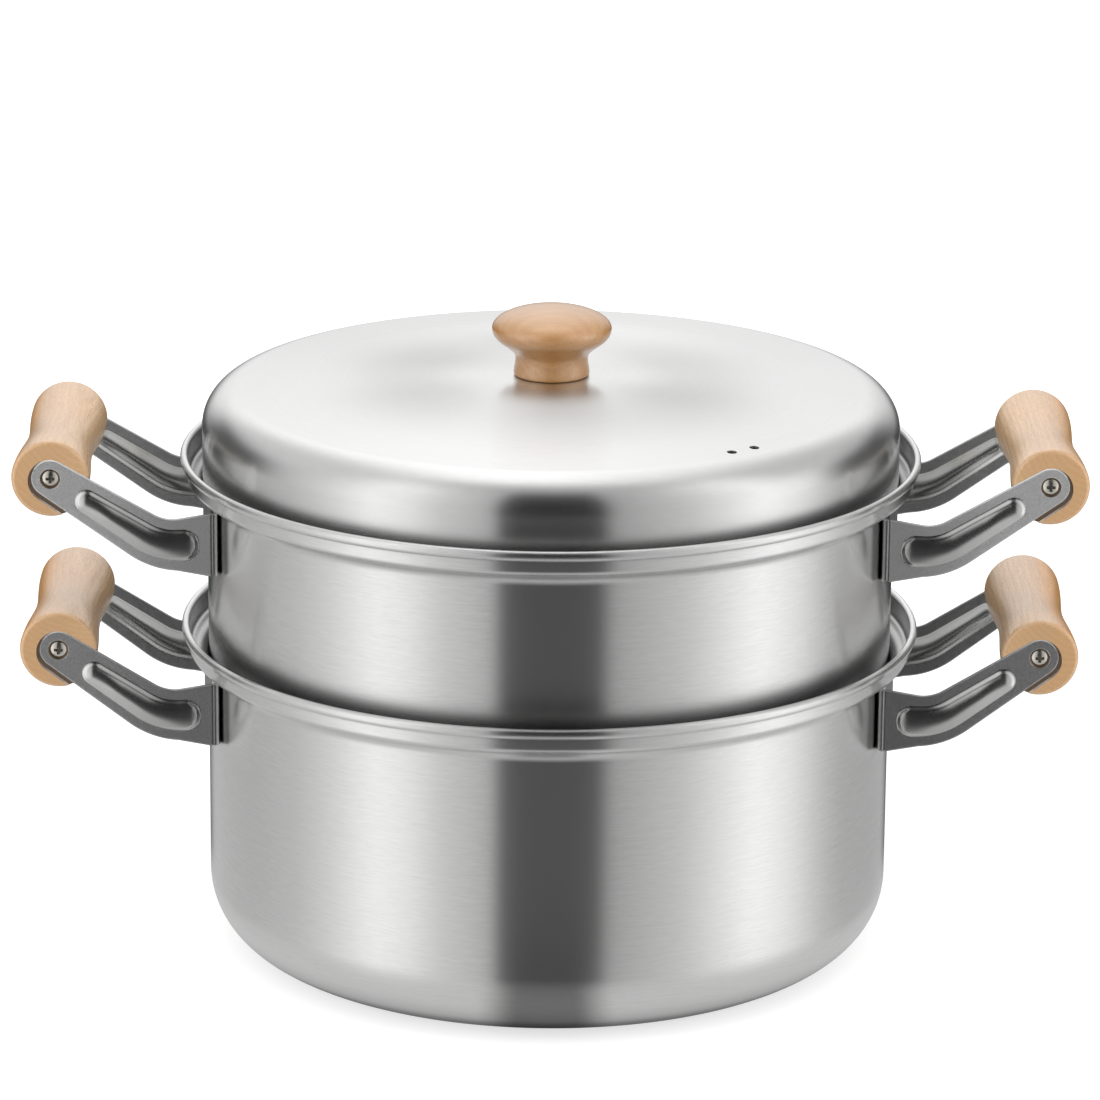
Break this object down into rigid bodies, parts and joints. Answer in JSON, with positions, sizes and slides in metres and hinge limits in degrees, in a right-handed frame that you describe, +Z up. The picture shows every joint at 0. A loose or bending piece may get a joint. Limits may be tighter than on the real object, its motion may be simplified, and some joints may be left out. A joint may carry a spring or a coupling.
{
  "type": "steamer pot",
  "caption": "Stainless stock pot with a perforated steamer tier stacked in its rim, a domed lid with a turned wooden knob, and wooden grips on bent steel brackets.",
  "frame": {"origin": "middle of the pot's flat base, on the surface that it stands on", "axes": "+Z up along the axis of the pot, +X through the right-hand grips as seen in the picture, +Y away from the viewer"},
  "size_m": [0.4032, 0.2822, 0.25],
  "materials": {
    "stainless": "fine brushed sheet, brushed round the axis",
    "bracket_steel": "satin mill finish",
    "beech": "sanded light beech, clear matt oil",
    "fastener_steel": "plain zinc-plated steel"
  },
  "bodies": {
    "pot": {"pot_body": "stainless", "pot_bracket_left": "bracket_steel", "pot_bracket_right": "bracket_steel", "pot_grip_left": "beech", "pot_grip_right": "beech", "pot_sleeve_left": "fastener_steel", "pot_sleeve_right": "fastener_steel", "pot_screws_left": "fastener_steel", "pot_screws_right": "fastener_steel"},
    "basket": {"basket_body": "stainless", "basket_bracket_left": "bracket_steel", "basket_bracket_right": "bracket_steel", "basket_grip_left": "beech", "basket_grip_right": "beech", "basket_sleeve_left": "fastener_steel", "basket_sleeve_right": "fastener_steel", "basket_screws_left": "fastener_steel", "basket_screws_right": "fastener_steel"},
    "lid": {"lid_shell": "stainless", "lid_knob": "beech", "knob_insert": "fastener_steel", "knob_screw": "fastener_steel", "knob_washer": "fastener_steel"}
  },
  "joints": [
    {"name": "basket_lift", "type": "slide", "parent": "pot", "child": "basket", "axis": [0, 0, 1], "range_m": [0, 0.12]},
    {"name": "lid_lift", "type": "slide", "parent": "basket", "child": "lid", "axis": [0, 0, 1], "range_m": [0, 0.08]}
  ]
}
